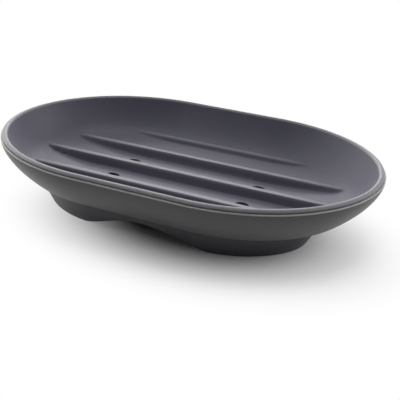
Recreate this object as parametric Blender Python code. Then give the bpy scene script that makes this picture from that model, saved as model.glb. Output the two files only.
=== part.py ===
"""Oval soap dish of three moulded silicone pieces.

A ribbed drain tray hangs by its lip in an outer shell, which catches the water.
The shell stands on a base ring whose lower edge arches up under each long side.
The origin is on the surface that the dish stands on, under its middle. +X runs
along the dish, +Z is up, and the tray lifts straight out along +Z.
"""
import math
from typing import NamedTuple

import bmesh
import bpy

mm = 0.001

# Plan of the dish
dish_length = 140.0 * mm
dish_width = 91.0 * mm
side_straight = 38.0 * mm

# Heights above the surface that the dish stands on
dish_height = 23.7 * mm
ledge_height = 9.2 * mm
shell_floor_height = 2.0 * mm

# Clearance between pieces that touch
seat_gap = 0.3 * mm

# Lip of the drain tray
lip_width = 2.5 * mm
lip_rise = 0.6 * mm
lip_thickness = 1.0 * mm
lip_setback = 0.35 * mm
lip_round = 0.6 * mm

# Basin of the drain tray: a steep wall down to a floor that is slightly dished
floor_below_ledge = 0.3 * mm
floor_dish = 5.5 * mm
floor_run = 29.5 * mm
floor_power = 1.6
basin_wall_run = 9.0 * mm
basin_wall_power = 1.9
tray_wall = 1.0 * mm
tray_side_wall = 0.75 * mm

# Ribs and drain holes
rib_count = 5
rib_pitch = 15.8 * mm
rib_height = 3.1 * mm
rib_width = 6.4 * mm
rib_root = 1.2 * mm
hole_length = 4.6 * mm
hole_width = 3.0 * mm
hole_rows = 2
hole_spread = 50.7 * mm

# Outer shell
shell_wall = 1.3 * mm
ledge_wall = 0.8 * mm
ledge_edge_wall = 0.45 * mm
shell_edge_round = 0.4 * mm
wall_inset = 9.3 * mm
wall_power = 1.59
well_draw = 3.1 * mm

# Base ring
ring_wall = 1.6 * mm
ring_top_inset = 9.9 * mm
ring_foot_inset = 15.0 * mm
ring_top_end_inset = 2.4 * mm
ring_foot_end_inset = 3.4 * mm
arch_rise = 6.5 * mm
arch_run = 27.0 * mm
arch_start = 0.3 * mm

# Cuts run past the solid that they cut by this much
overrun = 2.0 * mm

cap_steps = 32
side_steps = 2
wall_steps = 6
arch_steps = 32
basin_shares = (1.0, 0.84, 0.68, 0.54, 0.42, 0.34, 0.29, 0.25, 0.21, 0.17, 0.13, 0.09, 0.045, 0.0)


class Section(NamedTuple):
    """A level ring of a lofted piece: how far it lies in from the plan's edge, and how high.

    end_inset draws its two ends in further."""
    inset: float
    height: float
    end_inset: float = 0.0


seat_height = dish_height - lip_thickness
shell_rim_height = seat_height - seat_gap
floor_height = ledge_height - floor_below_ledge
basin_depth = dish_height - lip_rise - floor_height


def clear_scene():
    for old in list(bpy.data.objects):
        bpy.data.objects.remove(old, do_unlink=True)


def collection(name):
    group = bpy.data.collections.new(name)
    bpy.context.scene.collection.children.link(group)
    return group


def silicone(name, colour, roughness):
    material = bpy.data.materials.new(name)
    material.use_nodes = True
    shader = material.node_tree.nodes["Principled BSDF"]
    shader.inputs["Base Color"].default_value = (*colour, 1.0)
    shader.inputs["Roughness"].default_value = roughness
    shader.inputs["Metallic"].default_value = 0.0
    return material


def outline(section):
    """Points round the plan at one level: two half ellipses joined by two straight sides."""
    straight = side_straight / 2
    end_radius = dish_length / 2 - straight - section.inset - section.end_inset
    side_radius = dish_width / 2 - section.inset
    points = []
    for side in (1, -1):
        for step in range(cap_steps + 1):
            angle = math.pi * (step / cap_steps - 0.5)
            x = side * (straight + end_radius * math.cos(angle))
            points.append((x, side * side_radius * math.sin(angle)))
        for step in range(1, side_steps):
            x = side * straight * (1 - 2 * step / side_steps)
            points.append((x, side * side_radius))
    return [(x, y, section.height) for x, y in points]


def loft(name, sections, group, closed_loop=False):
    """Skin over rings of equal count. The first and last ring are filled, unless the loop closes on itself."""
    skin = bmesh.new()
    rings = [[skin.verts.new(point) for point in outline(section)] for section in sections]
    pairs = list(zip(rings, rings[1:]))
    if closed_loop:
        pairs.append((rings[-1], rings[0]))
    for lower, upper in pairs:
        for i in range(len(lower)):
            j = (i + 1) % len(lower)
            skin.faces.new((lower[i], lower[j], upper[j], upper[i]))
    if not closed_loop:
        skin.faces.new(rings[0])
        skin.faces.new(rings[-1])
    bmesh.ops.recalc_face_normals(skin, faces=skin.faces)
    return mesh_object(name, skin, group)


def mesh_object(name, shape, group):
    mesh = bpy.data.meshes.new(name)
    shape.to_mesh(mesh)
    shape.free()
    mesh.shade_smooth()
    mesh.set_sharp_from_angle(angle=math.radians(40))
    made = bpy.data.objects.new(name, mesh)
    group.objects.link(made)
    return made


def cutter(made):
    made.hide_render = True
    made.display_type = 'WIRE'
    return made


def boolean(target, operation, tools):
    cut = target.modifiers.new(operation.lower(), 'BOOLEAN')
    cut.operation = operation
    cut.solver = 'EXACT'
    cut.operand_type = 'COLLECTION'
    cut.collection = tools


def basin_section(share, deeper_share=0.0):
    """Ring of the basin: share 0 at the lip, 1 where its floor is level.

    deeper_share leads through the tray's wall: 0 is the basin itself, 1 the tray's underside."""
    along = floor_run * share
    wall = (basin_depth - floor_dish) * max(0.0, 1 - along / basin_wall_run) ** basin_wall_power
    dish = floor_dish * (1 - share) ** floor_power
    return Section(
        lip_width + along - tray_side_wall * deeper_share,
        floor_height + wall + dish - tray_wall * deeper_share,
    )


def tray_sections():
    """From the middle of the floor out to the lip, over it, and back under the basin."""
    top = [basin_section(share) for share in basin_shares]
    lip = [
        Section(lip_width - lip_round / 2, dish_height - lip_round / 5),
        Section(lip_width - lip_round, dish_height),
        Section(lip_setback + lip_round, dish_height),
        Section(lip_setback + lip_round / 3, dish_height - lip_round / 3),
        Section(lip_setback, dish_height - lip_round),
        Section(lip_setback + lip_round / 3, seat_height),
        Section(lip_width - tray_side_wall, seat_height),
    ]
    under = [basin_section(share, 1.0) for share in reversed(basin_shares)]
    return top + lip + under


def rib_bodies(group):
    """Half-round bars with level crests, trimmed to the basin and half the depth of its wall."""
    trim = collection("rib_trim")
    sections = [basin_section(share, 0.5) for share in basin_shares]
    sections.append(Section(lip_width, dish_height + overrun))
    cutter(loft("basin_space", sections, trim))
    for index in range(rib_count):
        y = rib_pitch * (index - (rib_count - 1) / 2)
        bar = bmesh.new()
        bmesh.ops.create_cone(bar, cap_ends=True, segments=24, radius1=1, radius2=1, depth=1)
        half_height = rib_height + rib_root
        for vert in bar.verts:
            across, up, along = vert.co
            vert.co = (along * dish_length, across * rib_width / 2, up * half_height)
        everything = bar.verts[:] + bar.edges[:] + bar.faces[:]
        bmesh.ops.bisect_plane(bar, geom=everything, plane_co=(0, 0, 0), plane_no=(0, 0, -1), clear_outer=True)
        bmesh.ops.holes_fill(bar, edges=bar.edges)
        bmesh.ops.recalc_face_normals(bar, faces=bar.faces)
        rib = cutter(mesh_object("rib_%d" % (index + 1), bar, group))
        rib.location = (0.0, y, floor_height - rib_root)
        boolean(rib, 'INTERSECT', trim)


def hole_bodies(group):
    """An oval through the floor at both ends of the two grooves beside the middle rib."""
    for row in range(hole_rows):
        y = rib_pitch * (row - (hole_rows - 1) / 2)
        for side in (-1, 1):
            bore = bmesh.new()
            height = tray_wall + 2 * overrun
            bmesh.ops.create_cone(bore, cap_ends=True, segments=20, radius1=1, radius2=1, depth=height)
            for vert in bore.verts:
                vert.co.x *= hole_length / 2
                vert.co.y *= hole_width / 2
            hole = cutter(mesh_object("hole_%d_%s" % (row + 1, "left" if side < 0 else "right"), bore, group))
            hole.location = (side * hole_spread / 2, y, floor_height - tray_wall / 2)


def drain_tray(parts):
    ribs = collection("ribs")
    holes = collection("holes")
    rib_bodies(ribs)
    hole_bodies(holes)
    tray = loft("drain_tray", tray_sections(), parts)
    boolean(tray, 'UNION', ribs)
    boolean(tray, 'DIFFERENCE', holes)
    tray.data.materials.append(silicone("tray_silicone", (0.115, 0.115, 0.136), 0.55))


def wall_inset_at(height):
    """Inset of the shell's outer wall, which curves in towards the ledge."""
    top = shell_rim_height - shell_edge_round
    return wall_inset * (max(0.0, top - height) / (top - ledge_height)) ** wall_power


def ring_section(height, deeper=0.0):
    """Ring of the base ring's outer face, which slopes in towards the foot, or of a face deeper inside it."""
    top = ledge_height - seat_gap
    share = (top - height) / top
    return Section(
        ring_top_inset + (ring_foot_inset - ring_top_inset) * share + deeper,
        height,
        ring_top_end_inset + (ring_foot_end_inset - ring_top_end_inset) * share,
    )


def shell_sections():
    """From under the floor out round the well and ledge, up the wall, over the rim and down inside.

    The ledge thins towards the well, to clear the tray at both ends. The well's sides slope in, to
    stay out of sight behind the arch."""
    top = shell_rim_height - shell_edge_round
    well = ring_wall + seat_gap
    well_foot = ring_section(0.0, well + well_draw)
    well_top = ring_section(ledge_height, well)
    outside = [well_foot._replace(height=shell_floor_height), well_top]
    for step in range(wall_steps + 1):
        height = ledge_height + (top - ledge_height) * step / wall_steps
        outside.append(Section(wall_inset_at(height), height))
    rim = [Section(shell_edge_round, shell_rim_height), Section(shell_wall, shell_rim_height)]
    inner_ledge = ledge_height + ledge_wall
    inside = []
    for step in range(wall_steps, -1, -1):
        height = inner_ledge + (top - inner_ledge) * step / wall_steps
        inside.append(Section(wall_inset_at(height) + shell_wall, height))
    inside.append(well_top._replace(inset=well_top.inset + shell_wall, height=ledge_height + ledge_edge_wall))
    inside.append(well_foot._replace(height=shell_floor_height + shell_wall))
    return outside + rim + inside


def outer_shell(parts):
    shell = loft("outer_shell", shell_sections(), parts)
    shell.data.materials.append(silicone("shell_silicone", (0.072, 0.072, 0.073), 0.5))


def arch_cutter(group):
    """Outline of the arch, one wave of a cosine seen along +Y, drawn out across the whole dish."""
    points = [(-arch_run, -overrun)]
    for step in range(arch_steps + 1):
        share = 2 * step / arch_steps - 1
        wave = (1 + math.cos(math.pi * share)) / 2
        points.append((arch_run * share, (arch_rise + arch_start) * wave - arch_start))
    points.append((arch_run, -overrun))
    curve = bpy.data.curves.new("arch_outline", 'CURVE')
    curve.dimensions = '2D'
    curve.fill_mode = 'BOTH'
    curve.extrude = dish_width / 2
    spline = curve.splines.new('POLY')
    spline.points.add(len(points) - 1)
    for point, (x, z) in zip(spline.points, points):
        point.co = (x, z, 0.0, 1.0)
    spline.use_cyclic_u = True
    drawn = bpy.data.objects.new("arch_outline", curve)
    group.objects.link(drawn)
    drawn.rotation_euler = (math.pi / 2, 0.0, 0.0)
    bpy.context.view_layer.update()
    solid = bmesh.new()
    outline_mesh = bpy.data.meshes.new_from_object(drawn.evaluated_get(bpy.context.evaluated_depsgraph_get()))
    solid.from_mesh(outline_mesh)
    bmesh.ops.remove_doubles(solid, verts=solid.verts, dist=seat_gap / 10)
    arch = cutter(mesh_object("arch", solid, group))
    arch.matrix_world = drawn.matrix_world.copy()
    bpy.data.objects.remove(drawn, do_unlink=True)


def base_ring(parts):
    """A sloping ring round the shell's well. Its foot is level at both ends and arches up between them."""
    arches = collection("arches")
    arch_cutter(arches)
    top = ledge_height - seat_gap
    sections = [ring_section(top), ring_section(0.0), ring_section(0.0, ring_wall), ring_section(top, ring_wall)]
    ring = loft("base_ring", sections, parts, closed_loop=True)
    boolean(ring, 'DIFFERENCE', arches)
    ring.data.materials.append(silicone("ring_silicone", (0.03, 0.03, 0.036), 0.6))


clear_scene()
soap_dish = collection("soap_dish")
drain_tray(soap_dish)
outer_shell(soap_dish)
base_ring(soap_dish)
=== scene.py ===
"""Oval silicone soap dish, dressed: a ribbed drain tray, the shell that it hangs in and their base ring.

Every skin is worked out with numpy from the named sizes below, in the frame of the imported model.
"""
import math

import bpy
import numpy as np
from bpy.props import FloatProperty, FloatVectorProperty, IntProperty, PointerProperty
from mathutils import Matrix, Vector


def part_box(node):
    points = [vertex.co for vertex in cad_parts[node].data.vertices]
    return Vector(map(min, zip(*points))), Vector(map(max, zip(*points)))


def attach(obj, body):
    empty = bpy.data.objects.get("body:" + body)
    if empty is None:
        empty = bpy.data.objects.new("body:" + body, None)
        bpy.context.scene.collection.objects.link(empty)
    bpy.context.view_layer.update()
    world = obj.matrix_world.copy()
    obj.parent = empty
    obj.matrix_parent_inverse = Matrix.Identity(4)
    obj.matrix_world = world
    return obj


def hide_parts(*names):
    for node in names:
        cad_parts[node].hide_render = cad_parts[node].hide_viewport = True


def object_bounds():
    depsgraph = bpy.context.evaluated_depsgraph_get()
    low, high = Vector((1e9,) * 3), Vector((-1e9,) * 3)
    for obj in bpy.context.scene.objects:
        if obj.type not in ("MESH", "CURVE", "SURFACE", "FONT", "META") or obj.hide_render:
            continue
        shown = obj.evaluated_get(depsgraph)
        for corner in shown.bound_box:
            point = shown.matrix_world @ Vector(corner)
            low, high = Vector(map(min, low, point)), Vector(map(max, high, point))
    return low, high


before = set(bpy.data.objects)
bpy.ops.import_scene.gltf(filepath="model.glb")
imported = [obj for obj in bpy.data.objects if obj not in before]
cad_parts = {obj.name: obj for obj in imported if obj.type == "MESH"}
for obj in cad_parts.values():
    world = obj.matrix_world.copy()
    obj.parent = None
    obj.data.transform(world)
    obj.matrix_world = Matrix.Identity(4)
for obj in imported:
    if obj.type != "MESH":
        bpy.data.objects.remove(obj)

bl_info = {
    "name": "Soap Dish",
    "version": (1, 0, 0),
    "blender": (4, 5, 0),
    "location": "View3D > Sidebar > Soap Dish",
    "description": "Builds an oval silicone soap dish and its stage",
    "category": "Add Mesh",
}

mm = 0.001
cad_low, cad_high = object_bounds()
shell_low, shell_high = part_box("outer_shell")

# Columns of the skins: round a quarter of an end, and along a side
tray_quarter_columns = 96
tray_side_columns = 40
shell_quarter_columns = 72
shell_side_columns = 24
ring_side_columns = 48

# Rows of the tray's basin above and below, and of the shell's wall outside and inside
basin_top_rows = 138
basin_under_rows = 22
outer_wall_rows = 48
inner_wall_rows = 40

# Steps round a drain hole, and up the rounding of its mouth
hole_steps = 48
mouth_steps = 7

# Edges that bend more than this stay sharp
sharp_angle = math.radians(40.0)

# Softboxes: name, azimuth and elevation in degrees, side in metres and power in watts
softboxes = (
    ("top_softbox", 180.0, 79.0, 0.45, 2.4),
    ("back_softbox", 205.0, 25.0, 0.5, 4.3),
    ("left_softbox", 263.0, 26.0, 0.9, 6.9),
    ("right_softbox", 126.0, 26.0, 0.6, 3.9),
)
softbox_distance = 0.9

# Colour of the background
pure_white = (1.0, 1.0, 1.0, 1.0)


def length(name, description, default):
    """A size that the sidebar shows in scene units."""
    return FloatProperty(name=name, description=description, default=default, unit='LENGTH', precision=5)


def colour(name, description, default):
    """A colour that the sidebar shows as a swatch."""
    return FloatVectorProperty(
        name=name, description=description, default=default, subtype='COLOR', size=3, min=0.0, max=1.0
    )


class SoapDishPlan(bpy.types.PropertyGroup):
    """Plan and heights that all three pieces follow"""
    dish_length: length("Length", "Length of the shell's rim", cad_high.x - cad_low.x)
    dish_width: length("Width", "Width of the shell's rim", cad_high.y - cad_low.y)
    dish_height: length("Height", "Height of the tray's lip", cad_high.z)
    side_straight: length("Straight side", "Straight part of each long side", 38.0 * mm)
    ledge_height: length("Ledge height", "Underside of the shell's wall", 9.2 * mm)
    seat_gap: length("Seat gap", "Clearance between pieces that touch", 0.3 * mm)


class SoapDishTray(bpy.types.PropertyGroup):
    """Sizes and colours of the drain tray"""
    lip_width: length("Lip width", "Width of the rolled lip", 2.5 * mm)
    lip_rise: length("Lip rise", "Height of the lip above the basin's edge", 0.6 * mm)
    lip_thickness: length("Lip thickness", "Thickness of the lip over the shell's rim", 1.0 * mm)
    lip_setback: length("Lip setback", "How far the lip stays inside the shell's rim", 0.55 * mm)
    floor_below_ledge: length("Floor below ledge", "Depth of the floor below the shell's ledge", 0.3 * mm)
    floor_dish: length("Floor dish", "Height that the dished floor gains out to the lip", 4.0 * mm)
    floor_run: length("Floor run", "Width of the dished floor's slope, in plan", 29.5 * mm)
    basin_wall_run: length("Basin wall run", "Width of the steep wall, in plan", 15.0 * mm)
    wall: length("Wall", "Thickness of the tray's floor", 0.8 * mm)
    side_wall: length("Side wall", "Thickness of the tray's steep wall, in plan", 0.75 * mm)
    rib_count: IntProperty(name="Ribs", description="Number of ribs", default=5, min=1, max=8)
    rib_pitch: length("Rib pitch", "Distance between two ribs", 15.8 * mm)
    rib_height: length("Rib height", "Height of the rib crests above the floor", 3.1 * mm)
    rib_width: length("Rib width", "Width of a rib at its root", 6.4 * mm)
    rib_crest: length("Rib crest", "Width of a rib's level crest", 1.9 * mm)
    rib_root: length("Rib root", "Depth of a rib's widest level below the floor", 1.2 * mm)
    rib_fillet: length("Rib fillet", "Softness of the valley between a rib and the basin", 0.35 * mm)
    hole_length: length("Hole length", "Length of a drain hole", 4.6 * mm)
    hole_width: length("Hole width", "Width of a drain hole", 3.0 * mm)
    hole_rows: IntProperty(name="Hole rows", description="Grooves with holes", default=2, min=1, max=4)
    hole_spread: length("Hole spread", "Distance between the two holes of a groove", 50.7 * mm)
    hole_round: length("Hole edge", "Rounding of a hole's edge", 0.35 * mm)
    silicone: colour("Silicone", "Colour of the tray", (0.113, 0.111, 0.143))
    # Lighter tone for the lip and the rib crests: partly wear, partly a painted highlight
    rubbed: colour("Rubbed silicone", "Colour of the lip and crests, which rub", (0.310, 0.307, 0.325))


class SoapDishShell(bpy.types.PropertyGroup):
    """Sizes and colours of the outer shell"""
    floor_height: length("Floor height", "Underside of the shell's floor", shell_low.z)
    wall: length("Wall", "Thickness of the shell", 1.3 * mm)
    ledge_wall: length("Ledge wall", "Thickness of the ledge beside the wall", 0.8 * mm)
    ledge_edge_wall: length("Ledge edge wall", "Thickness of the ledge beside the well", 0.45 * mm)
    well_draw: length("Well draw", "How far the well's floor lies in from the ring's foot", 3.1 * mm)
    wall_inset: length("Wall inset", "How far the wall draws in down to the ledge", 9.3 * mm)
    wall_end_inset: length("Wall end inset", "How much more the wall draws in at both ends", 0.7 * mm)
    edge_round: length("Edge rounding", "Rounding of the rim", 0.4 * mm)
    silicone: colour("Silicone", "Colour of the shell", (0.122, 0.119, 0.124))
    # Much lighter tone for the rim's outer edge, which the lip shades: a painted highlight
    rubbed: colour("Rubbed silicone", "Colour of the rim's rubbed edge", (0.60, 0.58, 0.555))


class SoapDishRing(bpy.types.PropertyGroup):
    """Sizes and colour of the base ring"""
    wall: length("Wall", "Thickness of the ring", 1.6 * mm)
    top_inset: length("Top inset", "How far the ring's top lies in from the rim", 9.9 * mm)
    foot_inset: length("Foot inset", "How far the ring's foot lies in from the rim", 15.0 * mm)
    top_end_inset: length("Top end inset", "Further inset of the top at both ends", 5.4 * mm)
    foot_end_inset: length("Foot end inset", "Further inset of the foot at both ends", 3.4 * mm)
    foot_end_flat: length("Foot end flat", "What is cut off the foot's rounded ends", 3.0 * mm)
    arch_rise: length("Arch rise", "Height of the arch under each long side", 6.5 * mm)
    arch_run: length("Arch run", "Half the length of the arch's wave", 27.0 * mm)
    arch_start: length("Arch start", "How far below the foot the wave begins", 0.3 * mm)
    edge_round: length("Edge rounding", "Rounding of the ring's edges", 0.5 * mm)
    silicone: colour("Silicone", "Colour of the ring", (0.098, 0.097, 0.110))


class SoapDishStage(bpy.types.PropertyGroup):
    """Camera and colour of the stage"""
    azimuth: FloatProperty(name="Azimuth", description="Turn round the dish, in degrees", default=23.50)
    elevation: FloatProperty(name="Elevation", description="Height over the floor, in degrees", default=24.55)
    roll: FloatProperty(name="Roll", description="Turn about the view, in degrees", default=2.92)
    distance: length("Distance", "Camera to the middle of the lip, along the view", 270.3 * mm)
    lens: FloatProperty(name="Lens", description="Focal length on a 36 mm sensor, in mm", default=68.87)
    floor: colour("Floor", "Colour of the floor", (0.8, 0.8, 0.8))


class SoapDishSettings(bpy.types.PropertyGroup):
    """All sizes and colours of the dish"""
    plan: PointerProperty(type=SoapDishPlan)
    tray: PointerProperty(type=SoapDishTray)
    shell: PointerProperty(type=SoapDishShell)
    ring: PointerProperty(type=SoapDishRing)
    stage: PointerProperty(type=SoapDishStage)


# Skins

def plan_columns(quarter, side):
    """Columns round the plan: each one's centre on the straight axis, as a share of it, and its angle."""
    turn = np.linspace(0.0, math.pi / 2, quarter, endpoint=False)
    level = np.ones(quarter)
    run = np.linspace(1.0, -1.0, side, endpoint=False)
    upright = np.full(side, math.pi / 2)
    angle = [turn, upright, turn + math.pi / 2, turn + math.pi, upright + math.pi, turn + 1.5 * math.pi]
    centre = [level, run, -level, -level, -run, level]
    return np.concatenate(centre), np.concatenate(angle)


def plan_points(plan, columns, inset, height, end_inset, end_flat):
    """Points on the columns, at insets and heights that may differ from column to column.

    A point is its column's centre on the straight axis plus cos(angle) times the end radius, and
    sin(angle) times the side radius, both less the insets. The end flat times cos(angle) to the power
    blunt_power is taken off, which blunts the ends."""
    blunt_power = 17
    centre, angle = columns
    straight = plan.side_straight / 2
    end_radius = plan.dish_length / 2 - straight - inset - end_inset
    side_radius = plan.dish_width / 2 - inset
    x = straight * centre + end_radius * np.cos(angle) - end_flat * np.cos(angle) ** blunt_power
    return np.stack([x, side_radius * np.sin(angle), height + 0.0 * x], axis=-1)


def plan_skin(plan, columns, profile):
    """Points of a skin from a profile carried round the plan.

    A profile row holds inset, height, end inset and end flat, as plan_points takes them."""
    return plan_points(plan, columns, *(profile[:, i:i + 1] for i in range(4)))


def rows(inset, height, end_inset=0.0, end_flat=0.0):
    """Profile rows from values or arrays of one length."""
    parts = (np.asarray(part, float) for part in (inset, height, end_inset, end_flat))
    return np.stack(np.broadcast_arrays(*parts), -1)


def rounded(profile, times):
    """Corner cutting: each side of the line keeps its middle, and every corner turns into a short curve."""
    cut = 0.25
    for _ in range(times):
        ahead = profile[:-1] * (1 - cut) + profile[1:] * cut
        behind = profile[:-1] * cut + profile[1:] * (1 - cut)
        middle = np.stack([ahead, behind], axis=1).reshape(-1, profile.shape[1])
        profile = np.concatenate([profile[:1], middle, profile[-1:]])
    return profile


def fillet(profile, radius, steps=5):
    """Every inner corner of the line is replaced by a parabola.

    It starts and ends one radius away from the corner, or at most_share of a side that is too short."""
    most_share = 0.45
    out = [profile[:1]]
    t = np.linspace(0.0, 1.0, steps)[:, None]
    for before, corner, after in zip(profile[:-2], profile[1:-1], profile[2:]):
        start = corner + (before - corner) * min(most_share, radius / np.linalg.norm(before - corner))
        end = corner + (after - corner) * min(most_share, radius / np.linalg.norm(after - corner))
        out.append((1 - t) ** 2 * start + 2 * t * (1 - t) * corner + t ** 2 * end)
    out.append(profile[-1:])
    return np.concatenate(out)


def skin_faces(row_count, column_count, closed_rows):
    """Quads over the grid, whose columns run round.

    The rows close as well, or the end rows fold flat onto the dish's long axis."""
    ids = np.arange(row_count * column_count).reshape(row_count, column_count)
    if closed_rows:
        ids = np.concatenate([ids, ids[:1]])
    else:
        column = np.arange(column_count)
        fold = np.minimum(column, (column_count - column) % column_count)
        ids[0] = fold
        ids[-1] = ids[-1, 0] + fold
    a, b = ids[:-1], ids[1:]
    return np.stack([a, np.roll(a, -1, 1), np.roll(b, -1, 1), b], axis=-1).reshape(-1, 4)


def enclosed_volume(points, faces):
    """Signed volume inside a skin: the sum of the tetrahedra from the origin to each half face."""
    a, b, c, d = (points[faces[:, i]] for i in range(4))
    return (np.einsum('ij,ij->', a, np.cross(b, c)) + np.einsum('ij,ij->', a, np.cross(c, d))) / 6


def skin_object(name, points, faces, attributes=None):
    """Mesh object of a closed skin, faces outwards, with vertices that no face uses left out."""
    points = points.reshape(-1, 3)
    if enclosed_volume(points, faces) < 0:
        faces = faces[:, ::-1]
    used, compact = np.unique(faces, return_inverse=True)
    mesh = bpy.data.meshes.new(name)
    mesh.from_pydata(points[used].tolist(), [], compact.reshape(faces.shape).tolist())
    for label, values in (attributes or {}).items():
        layer = mesh.attributes.new(label, 'FLOAT', 'POINT')
        layer.data.foreach_set("value", values.reshape(-1)[used].astype(np.float32))
    mesh.shade_smooth()
    mesh.set_sharp_from_angle(angle=sharp_angle)
    made = bpy.data.objects.new(name, mesh)
    bpy.context.scene.collection.objects.link(made)
    return made


def finish_piece(made, body, material):
    """Puts a dressed piece on its body in place of the CAD node of the same name."""
    made.data.materials.append(material)
    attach(made, body)
    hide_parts(made.name.replace("_skin", ""))


# Drain tray

def basin_rows(plan, tray, shares, deeper=0.0):
    """Rows of the basin at shares of its slope, 0 at the lip and 1 where the floor is level.

    Height is the floor, plus the dish times (1 - share) to the power floor_power, plus the rest of the
    basin's depth times the share of the steep wall's run that is left, to the power basin_wall_power.
    Deeper 1 gives the underside."""
    basin_wall_power = 2.8
    floor_power = 1.6
    floor = plan.ledge_height - tray.floor_below_ledge
    steep = plan.dish_height - tray.lip_rise - floor - tray.floor_dish
    along = tray.floor_run * shares
    return rows(
        tray.lip_width + along - tray.side_wall * deeper,
        floor
        + steep * np.clip(1.0 - along / tray.basin_wall_run, 0.0, 1.0) ** basin_wall_power
        + tray.floor_dish * np.clip(1.0 - shares, 0.0, 1.0) ** floor_power
        - tray.wall * deeper,
    )


def lip_rows(plan, tray):
    """From the basin's edge up to the lip's crest, down the lip's sloping back and in under it.

    The line's insets go by the lip's width w, setback s and rise r, and its heights by the rise."""
    top = plan.dish_height
    seat = top - tray.lip_thickness
    w, s, r = tray.lip_width, tray.lip_setback, tray.lip_rise
    line = [
        (w, top - r),
        (w - 0.5 * r, top - 0.4 * r),
        (w - r, top),
        (w - 1.9 * r, top),
        (s + 0.6 * r, top - 0.3 * r),
        (s + 0.1 * r, top - 0.8 * r),
        (s, top - 1.2 * r),
        (s, seat),
        (s + 0.3 * r, seat),
        (w - tray.side_wall, seat),
    ]
    return rounded(rows(*np.transpose(line)), 2)


def rib_lines(tray):
    """Where the ribs' middles lie across the dish."""
    return tray.rib_pitch * (np.arange(tray.rib_count) - (tray.rib_count - 1) / 2)


def rib_height_at(plan, tray, y):
    """Height of the nearest rib at y.

    It is level over the crest, and then falls in an S of 3 t^2 - 2 t^3 down to the root."""
    floor = plan.ledge_height - tray.floor_below_ledge
    offset = np.min(np.abs(y[..., None] - rib_lines(tray)), axis=-1)
    t = np.clip((2.0 * offset - tray.rib_crest) / (tray.rib_width - tray.rib_crest), 0.0, 1.0)
    return floor + tray.rib_height - (tray.rib_height + tray.rib_root) * (3.0 - 2.0 * t) * t ** 2


def smooth_top(a, b, softness):
    """The higher of two heights, with a soft valley where they meet."""
    h = np.clip(0.5 + 0.5 * (a - b) / softness, 0.0, 1.0)
    return b + (a - b) * h + softness * h * (1.0 - h)


def hole_cutters(plan, tray):
    """One mesh of flared oval plugs, two to a groove.

    A plug is an oval carried up a line that widens by a quarter round at both faces of the floor."""
    r = tray.hole_round
    floor = plan.ledge_height - tray.floor_below_ledge
    under = floor - tray.wall
    turn = np.linspace(0.0, 2 * math.pi, hole_steps, endpoint=False)
    quarter = np.linspace(0.0, math.pi / 2, mouth_steps)
    flare = r * (1 - np.cos(quarter))
    climb = r * np.sin(quarter)
    flares = np.concatenate([[r], flare[::-1], flare, [r]])[:, None]
    heights = np.concatenate([[under - r], (under + r - climb)[::-1], floor - r + climb, [floor + 2 * r]])
    x = (tray.hole_length / 2 + flares) * np.cos(turn)
    y = (tray.hole_width / 2 + flares) * np.sin(turn)
    plug = np.stack([x, y, heights[:, None] + 0.0 * x], -1).reshape(-1, 3)
    ids = np.arange(len(plug)).reshape(-1, hole_steps)
    low, high = ids[:-1], ids[1:]
    sides = np.stack([low, np.roll(low, -1, 1), np.roll(high, -1, 1), high], -1).reshape(-1, 4)
    points, faces = [], []
    for row in range(tray.hole_rows):
        for side in (-1, 1):
            across = tray.rib_pitch * (row - (tray.hole_rows - 1) / 2)
            start = len(points) * len(plug)
            points.append(plug + np.array([side * tray.hole_spread / 2, across, 0.0]))
            faces += (sides + start).tolist()
            faces.append((ids[0][::-1] + start).tolist())
            faces.append((ids[-1] + start).tolist())
    mesh = bpy.data.meshes.new("plugs")
    mesh.from_pydata(np.concatenate(points).tolist(), [], faces)
    plugs = bpy.data.objects.new("plugs", mesh)
    bpy.context.scene.collection.objects.link(plugs)
    return plugs


def bore(made, plugs):
    """Cuts the plugs out of a piece's mesh and removes them."""
    cut = made.modifiers.new("holes", 'BOOLEAN')
    cut.operation = 'DIFFERENCE'
    cut.solver = 'EXACT'
    cut.object = plugs
    depsgraph = bpy.context.evaluated_depsgraph_get()
    mesh = bpy.data.meshes.new_from_object(made.evaluated_get(depsgraph))
    made.modifiers.clear()
    made.data = mesh
    bpy.data.objects.remove(plugs, do_unlink=True)


class SOAPDISH_OT_drain_tray(bpy.types.Operator):
    """Builds the ribbed drain tray, from the middle of its floor over the lip and back under the basin"""
    bl_idname = "soapdish.drain_tray"
    bl_label = "Drain Tray"

    def execute(self, context):
        plan, tray = context.scene.soap_dish.plan, context.scene.soap_dish.tray
        # The lip and the rib crests get a lighter tone, partly wear and partly a painted highlight; these set
        # its share and fade on the crests
        crest_highlight = 0.58
        crest_highlight_fade = 0.6 * mm
        reach = (plan.dish_width / 2 - tray.lip_width) / tray.floor_run
        under_reach = reach + tray.side_wall / tray.floor_run
        top = basin_rows(plan, tray, np.linspace(reach, 0.0, basin_top_rows))
        lip = lip_rows(plan, tray)
        under = basin_rows(plan, tray, np.append(np.linspace(0.0, 1.0, basin_under_rows), under_reach), 1.0)
        profile = np.concatenate([top, lip[1:], under])
        points = plan_skin(plan, plan_columns(tray_quarter_columns, tray_side_columns), profile)
        basin = points[:len(top)]
        ribs = rib_height_at(plan, tray, basin[..., 1])
        # Mask of the lighter tone: painted highlight with some wear, full on the lip, fading down the rib
        # crests
        rubbed = np.zeros(points.shape[:2])
        crest = np.clip(1.0 - (ribs.max() - ribs) / tray.rib_height, 0.0, 1.0)
        rubbed[:len(top)] = crest_highlight * crest * np.clip((ribs - basin[..., 2]) / crest_highlight_fade, 0.0, 1.0)
        rubbed[len(top):len(top) + len(lip) - 1] = 1.0
        basin[..., 2] = smooth_top(basin[..., 2], ribs, tray.rib_fillet)
        faces = skin_faces(*points.shape[:2], closed_rows=False)
        made = skin_object("drain_tray_skin", points, faces, {"rubbed": rubbed})
        bore(made, hole_cutters(plan, tray))
        material = silicone("tray_silicone", tray.silicone, tray.rubbed, roughness=0.46)
        finish_piece(made, "tray", material)
        return {'FINISHED'}


# Outer shell and base ring

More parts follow.
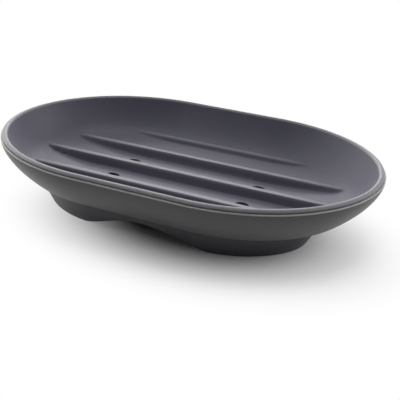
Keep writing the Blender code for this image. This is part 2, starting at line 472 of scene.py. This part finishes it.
def ring_face(plan, ring, height, deeper=0.0):
    """Inset, height, end inset and end flat on the ring's outer face, or on a face deeper inside it.

    The face draws in evenly from its top to its foot."""
    up = height / (plan.ledge_height - plan.seat_gap)
    return (
        ring.foot_inset + (ring.top_inset - ring.foot_inset) * up + deeper,
        height,
        ring.foot_end_inset + (ring.top_end_inset - ring.foot_end_inset) * up,
        ring.foot_end_flat * (1.0 - up),
    )


def wall_rows(plan, shell, rim_height, low, count, thickness=0.0):
    """Rows up the shell's wall.

    Its inset is wall_inset times the share of the way down, to the power wall_power."""
    wall_power = 1.59
    top = rim_height - shell.edge_round
    height = np.linspace(low, top, count)
    down = (top - height) / (top - plan.ledge_height)
    drawn = down ** wall_power
    return rows(shell.wall_inset * drawn + thickness, height, shell.wall_end_inset * drawn)


class SOAPDISH_OT_outer_shell(bpy.types.Operator):
    """Builds the shell: under its floor, round the well and ledge, up the wall, over the rim, down inside"""
    bl_idname = "soapdish.outer_shell"
    bl_label = "Outer Shell"

    def execute(self, context):
        settings = context.scene.soap_dish
        plan, shell, ring = settings.plan, settings.shell, settings.ring
        under_round = 0.4 * mm
        inside_round = 1.0 * mm
        rim_steps = 7
        rim_highlight_depth = 2.3 * shell.edge_round
        rim = shell_high.z
        well = ring.wall + plan.seat_gap
        middle = plan.dish_width / 2
        outer_wall = wall_rows(plan, shell, rim, plan.ledge_height, outer_wall_rows)
        inner_ledge = plan.ledge_height + shell.ledge_wall
        inner_wall = wall_rows(plan, shell, rim, inner_ledge, inner_wall_rows, shell.wall)[::-1]
        well_top = rows(*ring_face(plan, ring, plan.ledge_height, well))
        well_foot = rows(*ring_face(plan, ring, 0.0, well + shell.well_draw))
        well_foot[..., 1] = shell.floor_height
        under = fillet(np.vstack([
            rows(middle, shell.floor_height, ring.foot_end_inset),
            well_foot,
            well_top,
            outer_wall[0],
            outer_wall[1],
        ]), under_round)
        edge = fillet(np.vstack([
            outer_wall[-2],
            rows(0.0, rim),
            rows(shell.wall, rim),
            inner_wall[1],
        ]), shell.edge_round, rim_steps)
        inside = fillet(np.vstack([
            inner_wall[-2],
            inner_wall[-1],
            well_top + rows(shell.wall, shell.ledge_edge_wall),
            well_foot + rows(0.0, shell.wall),
            rows(middle, shell.floor_height + shell.wall, ring.foot_end_inset),
        ]), inside_round)
        profile = np.vstack([under[:-1], outer_wall[1:-2], edge, inner_wall[2:-2], inside])
        points = plan_skin(plan, plan_columns(shell_quarter_columns, shell_side_columns), profile)
        # Mask of the painted highlight along the rim's outer edge, fading down to rim_highlight_depth below
        # the rim
        rubbed = np.clip(1.0 + (points[..., 2] - rim) / rim_highlight_depth, 0.0, 1.0)
        faces = skin_faces(*points.shape[:2], closed_rows=False)
        made = skin_object("outer_shell_skin", points, faces, {"rubbed": rubbed})
        material = silicone("shell_silicone", shell.silicone, shell.rubbed, roughness=0.42)
        finish_piece(made, "dish", material)
        return {'FINISHED'}


def arch_lift(ring, x):
    """Height of the ring's lower edge: a cosine wave from arch_start below the foot up to arch_rise."""
    wave = (1 + np.cos(math.pi * np.clip(np.abs(x) / ring.arch_run, 0.0, 1.0))) / 2
    return np.maximum(0.0, (ring.arch_rise + ring.arch_start) * wave - ring.arch_start)


class SOAPDISH_OT_base_ring(bpy.types.Operator):
    """Builds the base ring, whose lower edge is level at both ends and arches up under each long side"""
    bl_idname = "soapdish.base_ring"
    bl_label = "Base Ring"

    def execute(self, context):
        plan, ring = context.scene.soap_dish.plan, context.scene.soap_dish.ring
        long_side = 2.0 * mm
        long_side_rows = 12
        arch_rounds = 4
        columns = plan_columns(shell_quarter_columns, ring_side_columns)
        top = plan.ledge_height - plan.seat_gap
        wall = ring.wall
        loop = [[0.0, top / 2], [0.0, 0.0], [wall, 0.0], [wall, top], [0.0, top], [0.0, top / 2]]
        loop = fillet(np.array(loop), ring.edge_round)
        counts = np.where(np.linalg.norm(np.diff(loop, axis=0), axis=1) > long_side, long_side_rows, 1)
        along = np.concatenate([i + np.linspace(0.0, 1.0, n, endpoint=False) for i, n in enumerate(counts)])
        deeper, height = (np.interp(along, np.arange(len(loop)), loop[:, i])[:, None] for i in range(2))
        # The arch squeezes the loop upwards, which moves its points inwards, so lift and points take turns
        lift = 0.0
        for _ in range(arch_rounds):
            level = lift + (top - lift) * height / top
            points = plan_points(plan, columns, *ring_face(plan, ring, level, deeper))
            lift = arch_lift(ring, points[..., 0])
        made = skin_object("base_ring_skin", points, skin_faces(*points.shape[:2], closed_rows=True))
        material = silicone("ring_silicone", ring.silicone, ring.silicone, roughness=0.5)
        finish_piece(made, "dish", material)
        return {'FINISHED'}


# Materials

class Wire:
    """A node's output in an expression: + - * and their reflected forms add Math nodes."""

    def __init__(self, graph, socket):
        self.graph = graph
        self.socket = socket

    def maths(self, operation, *values):
        return self.graph.node('ShaderNodeMath', {"operation": operation}, *values)

    def __add__(self, other):
        return self.maths('ADD', self, other)

    __radd__ = __add__

    def __sub__(self, other):
        return self.maths('SUBTRACT', self, other)

    def __rsub__(self, other):
        return self.maths('SUBTRACT', other, self)

    def __mul__(self, other):
        return self.maths('MULTIPLY', self, other)

    __rmul__ = __mul__

    def step(self, low, high):
        """0 below low, 1 above high, smooth between."""
        smooth = {"interpolation_type": 'SMOOTHSTEP'}
        return self.graph.node('ShaderNodeMapRange', smooth, self, low, high, 0.0, 1.0)


class Graph:
    """Nodes of one material or world."""

    def __init__(self, owner):
        owner.use_nodes = True
        self.tree = owner.node_tree

    def put(self, socket, value):
        """Links a wire to a socket, or sets the socket's own value."""
        if isinstance(value, Wire):
            self.tree.links.new(value.socket, socket)
        else:
            socket.default_value = value

    def node(self, kind, settings, *values, output=0, **named):
        """Adds a node: its settings first, then its sockets in order or by name."""
        made = self.tree.nodes.new(kind)
        for key, value in settings.items():
            setattr(made, key, value)
        for socket, value in zip(made.inputs, values):
            self.put(socket, value)
        for key, value in named.items():
            self.put(made.inputs[key], value)
        return Wire(self, made.outputs[output])

    def noise(self, place, scale, detail=2.0, roughness=0.5):
        return self.node(
            'ShaderNodeTexNoise', {}, Vector=place, Scale=scale, Detail=detail, Roughness=roughness
        )

    def mix_colour(self, factor, a, b):
        """Colour a where the factor is 0 and b where it is 1. The sockets go by number: names repeat."""
        made = self.tree.nodes.new('ShaderNodeMix')
        made.data_type = 'RGBA'
        self.put(made.inputs[0], factor)
        self.put(made.inputs[6], a)
        self.put(made.inputs[7], b)
        return Wire(self, made.outputs[2])

    def feed(self, name, **sockets):
        """Fills sockets of a node that is there from the start."""
        for key, value in sockets.items():
            self.put(self.tree.nodes[name].inputs[key.replace("_", " ")], value)


def silicone(name, tone, highlight_and_wear_tone, roughness):
    """Matt moulded silicone: a fine grain, slow mottling of tone and gloss, and a few light specks.

    Where the piece's attribute for lighter parts nears 1, the tone goes over to a lighter one, which is
    partly wear and partly a painted highlight, and the gloss rises."""
    lighter, darker = 1.16, 0.86
    mottling_share, grain_share = 0.6, 0.6
    dust_share, dust_level, dust_cover = 0.6, 0.12, 0.5
    highlight_cover, highlight_patchiness = 0.75, 0.5
    haze_gloss, pore_gloss, highlight_and_wear_gloss = 0.10, 0.06, 0.04
    material = bpy.data.materials.new(name)
    graph = Graph(material)
    place = graph.node('ShaderNodeTexCoord', {}, output='Object')
    mottling = graph.noise(place, scale=55.0, detail=3.0)
    haze = graph.noise(place, scale=260.0, detail=4.0, roughness=0.6)
    grain = graph.noise(place, scale=5200.0)
    pores = graph.noise(place, scale=1700.0, detail=3.0, roughness=0.6)
    specks = graph.noise(place, scale=2300.0, detail=0.0).step(low=0.80, high=0.86)
    light = [min(1.0, channel * lighter) for channel in tone]
    dark = [channel * darker for channel in tone]
    dust = [channel * dust_share + dust_level for channel in tone]
    cloud = mottling * mottling_share + haze * (1 - mottling_share)
    base = graph.mix_colour(cloud, (*dark, 1.0), (*light, 1.0))
    base = graph.mix_colour(specks * dust_cover, base, (*dust, 1.0))
    gloss = roughness + (haze - 0.5) * haze_gloss + (pores - 0.5) * pore_gloss
    # The lighter tone read from the piece's attribute is partly wear and partly a painted highlight
    highlight_and_wear_read = graph.node('ShaderNodeAttribute', {"attribute_name": "rubbed"}, output='Fac')
    rubbed = highlight_and_wear_read.step(low=0.4, high=0.95)
    cover = rubbed * (highlight_cover + (pores - 0.5) * highlight_patchiness)
    base = graph.mix_colour(cover, base, (*highlight_and_wear_tone, 1.0))
    gloss = gloss - rubbed * highlight_and_wear_gloss
    texture = grain * grain_share + pores * (1 - grain_share)
    relief = graph.node('ShaderNodeBump', {}, Strength=0.35, Distance=0.03 * mm, Height=texture)
    graph.feed(
        "Principled BSDF",
        Base_Color=base,
        Roughness=gloss,
        Normal=relief,
        IOR=1.41,
        Specular_IOR_Level=0.2,
        Sheen_Weight=0.06,
        Sheen_Roughness=0.5,
    )
    return material


# Stage

def direction(azimuth, elevation):
    """From the dish towards an azimuth and elevation in degrees. Azimuth 0 is the front."""
    a, e = math.radians(azimuth), math.radians(elevation)
    return Vector((math.sin(a) * math.cos(e), -math.cos(a) * math.cos(e), math.sin(e)))


def camera_axes(stage):
    """Right, up and back of the camera, from its azimuth, elevation and roll."""
    r = math.radians(stage.roll)
    back = direction(stage.azimuth, stage.elevation)
    level = Vector((0.0, 0.0, 1.0)).cross(back).normalized()
    upright = back.cross(level)
    right = math.cos(r) * level + math.sin(r) * upright
    up = -math.sin(r) * level + math.cos(r) * upright
    return right, up, back


def add_camera(stage, lip_height):
    """A camera that faces the middle of the lip, moved aside and down to frame the dish."""
    aside = 4.60 * mm
    down = 20.28 * mm
    right, up, back = camera_axes(stage)
    place = back * stage.distance + right * aside - up * down + Vector((0.0, 0.0, lip_height))
    data = bpy.data.cameras.new("camera")
    data.sensor_width = 36.0
    data.lens = stage.lens
    camera = bpy.data.objects.new("camera", data)
    bpy.context.scene.collection.objects.link(camera)
    camera.matrix_world = Matrix.Translation(place) @ Matrix((right, up, back)).transposed().to_4x4()
    bpy.context.scene.camera = camera


def add_softbox(name, azimuth, elevation, side, power):
    """A square lamp that faces the dish from an azimuth and elevation, in degrees."""
    back = direction(azimuth, elevation)
    data = bpy.data.lights.new(name, 'AREA')
    data.shape = 'SQUARE'
    data.size = side
    data.energy = power
    lamp = bpy.data.objects.new(name, data)
    bpy.context.scene.collection.objects.link(lamp)
    lamp.location = back * softbox_distance
    lamp.rotation_mode = 'QUATERNION'
    lamp.rotation_quaternion = (-back).to_track_quat('-Z', 'Y')
    lamp.visible_camera = False


def seen_rays(graph):
    """1 for the rays that show the background: the camera's, and those that reflect in or pass through."""
    kinds = ('Is Camera Ray', 'Is Glossy Ray', 'Is Transmission Ray')
    return sum(graph.node('ShaderNodeLightPath', {}, output=kind) for kind in kinds)


def add_floor(stage):
    """A level square sheet.

    Where it is seen, it keeps the shadow near the dish and brightens to white away from it. How far away
    goes by the distance from the middle of an oval: a place times shadow_squeeze, plus shadow_shift."""
    edge = 3.0
    shadow_shift = (-9.0 * mm, 10.0 * mm, 0.0)
    shadow_squeeze = (0.69, 1.0, 1.0)
    corners = [(-edge, -edge, 0), (edge, -edge, 0), (edge, edge, 0), (-edge, edge, 0)]
    mesh = bpy.data.meshes.new("floor")
    mesh.from_pydata(corners, [], [(0, 1, 2, 3)])
    floor = bpy.data.objects.new("floor", mesh)
    bpy.context.scene.collection.objects.link(floor)
    material = bpy.data.materials.new("floor")
    graph = Graph(material)
    graph.tree.nodes.remove(graph.tree.nodes["Principled BSDF"])
    diffuse = graph.node('ShaderNodeBsdfDiffuse', {}, Color=(*stage.floor, 1.0))
    pale = graph.node('ShaderNodeBsdfDiffuse', {}, Color=pure_white)
    white = graph.node('ShaderNodeEmission', {}, Color=pure_white, Strength=1.0)
    place = graph.node('ShaderNodeTexCoord', {}, output='Object')
    oval = graph.node('ShaderNodeMapping', {}, place, Location=shadow_shift, Scale=shadow_squeeze)
    radius = graph.node('ShaderNodeVectorMath', {"operation": 'LENGTH'}, oval, output='Value')
    away = radius.step(low=18.0 * mm, high=56.0 * mm)
    seen = graph.node('ShaderNodeMixShader', {}, away, pale, white)
    final = graph.node('ShaderNodeMixShader', {}, seen_rays(graph), diffuse, seen)
    graph.feed("Material Output", Surface=final)
    mesh.materials.append(material)


def add_world():
    """White behind everything that is seen, and a plain soft level for the light."""
    world = bpy.data.worlds.new("studio")
    bpy.context.scene.world = world
    graph = Graph(world)
    graph.feed("Background", Color=pure_white, Strength=0.05)
    plain = Wire(graph, graph.tree.nodes["Background"].outputs[0])
    white = graph.node('ShaderNodeBackground', {}, Color=pure_white, Strength=1.0)
    graph.feed("World Output", Surface=graph.node('ShaderNodeMixShader', {}, seen_rays(graph), plain, white))


class SOAPDISH_OT_stage(bpy.types.Operator):
    """Sets the camera, the soft lamps, the white floor and the world"""
    bl_idname = "soapdish.stage"
    bl_label = "Stage"

    def execute(self, context):
        settings = context.scene.soap_dish
        add_camera(settings.stage, settings.plan.dish_height)
        add_floor(settings.stage)
        add_world()
        for softbox in softboxes:
            add_softbox(*softbox)
        context.scene.view_settings.view_transform = 'Standard'
        return {'FINISHED'}


class SOAPDISH_PT_sidebar(bpy.types.Panel):
    """Lists the pieces of the dish and their sizes"""
    bl_idname = "SOAPDISH_PT_sidebar"
    bl_label = "Soap Dish"
    bl_space_type = 'VIEW_3D'
    bl_region_type = 'UI'
    bl_category = "Soap Dish"

    def draw(self, context):
        settings = context.scene.soap_dish
        for operator in operators:
            self.layout.operator(operator.bl_idname)
        for group in (settings.plan, settings.tray, settings.shell, settings.ring, settings.stage):
            box = self.layout.box()
            for key in group.__annotations__:
                box.prop(group, key)


operators = (
    SOAPDISH_OT_drain_tray,
    SOAPDISH_OT_outer_shell,
    SOAPDISH_OT_base_ring,
    SOAPDISH_OT_stage,
)
classes = (
    SoapDishPlan,
    SoapDishTray,
    SoapDishShell,
    SoapDishRing,
    SoapDishStage,
    SoapDishSettings,
    *operators,
    SOAPDISH_PT_sidebar,
)


def register():
    for cls in classes:
        bpy.utils.register_class(cls)
    bpy.types.Scene.soap_dish = PointerProperty(type=SoapDishSettings)


def unregister():
    del bpy.types.Scene.soap_dish
    for cls in reversed(classes):
        bpy.utils.unregister_class(cls)


def main():
    register()
    bpy.ops.soapdish.drain_tray()
    bpy.ops.soapdish.outer_shell()
    bpy.ops.soapdish.base_ring()
    bpy.ops.soapdish.stage()


if __name__ == "__main__":
    main()
